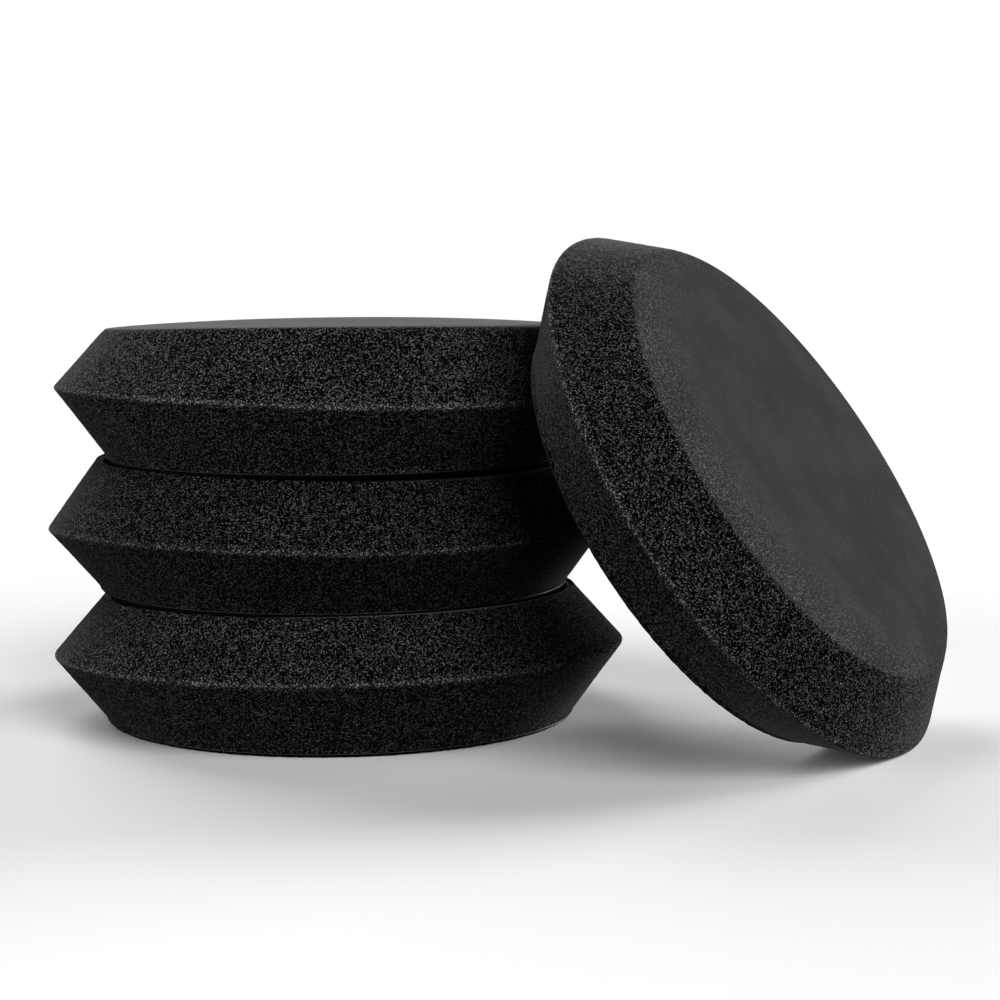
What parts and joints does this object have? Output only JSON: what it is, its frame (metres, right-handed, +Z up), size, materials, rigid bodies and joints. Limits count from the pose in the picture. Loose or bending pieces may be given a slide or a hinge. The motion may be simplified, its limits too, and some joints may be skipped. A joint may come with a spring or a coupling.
{
  "type": "polishing pad set",
  "caption": "Set of round black foam polishing pads with double-bevelled rims and hook-and-loop backings, stacked, with a further pad leaning on the stack.",
  "frame": {"origin": "centre of the bottom pad's underside, on the surface that the set stands on", "axes": "+Z up along the bottom pad's axis; +X from the stack towards the side where the fourth pad leans; +Y away from the side that the leaning pad's working face is turned to"},
  "size_m": [0.2328, 0.1905, 0.1253],
  "materials": {
    "foam": "matte",
    "bond_film": "satin",
    "loop_fabric": "matte"
  },
  "bodies": {
    "bottom_pad": {"bottom_pad_foam": "foam", "bottom_pad_bond_film": "bond_film", "bottom_pad_loop_backing": "loop_fabric"},
    "middle_pad": {"middle_pad_foam": "foam", "middle_pad_bond_film": "bond_film", "middle_pad_loop_backing": "loop_fabric"},
    "top_pad": {"top_pad_foam": "foam", "top_pad_bond_film": "bond_film", "top_pad_loop_backing": "loop_fabric"},
    "leaning_pad": {"leaning_pad_foam": "foam", "leaning_pad_bond_film": "bond_film", "leaning_pad_loop_backing": "loop_fabric"}
  },
  "joints": [
    {"name": "middle_pad_lift", "type": "slide", "parent": "bottom_pad", "child": "middle_pad", "axis": [-0.5486, 0.2494, 0.798], "range_m": [0, 0.1]},
    {"name": "top_pad_lift", "type": "slide", "parent": "middle_pad", "child": "top_pad", "axis": [-0.5486, 0.2494, 0.798], "range_m": [0, 0.1]},
    {"name": "leaning_pad_lift", "type": "slide", "parent": "bottom_pad", "child": "leaning_pad", "axis": [0.7478, -0.3647, 0.5548], "range_m": [0, 0.1]}
  ]
}
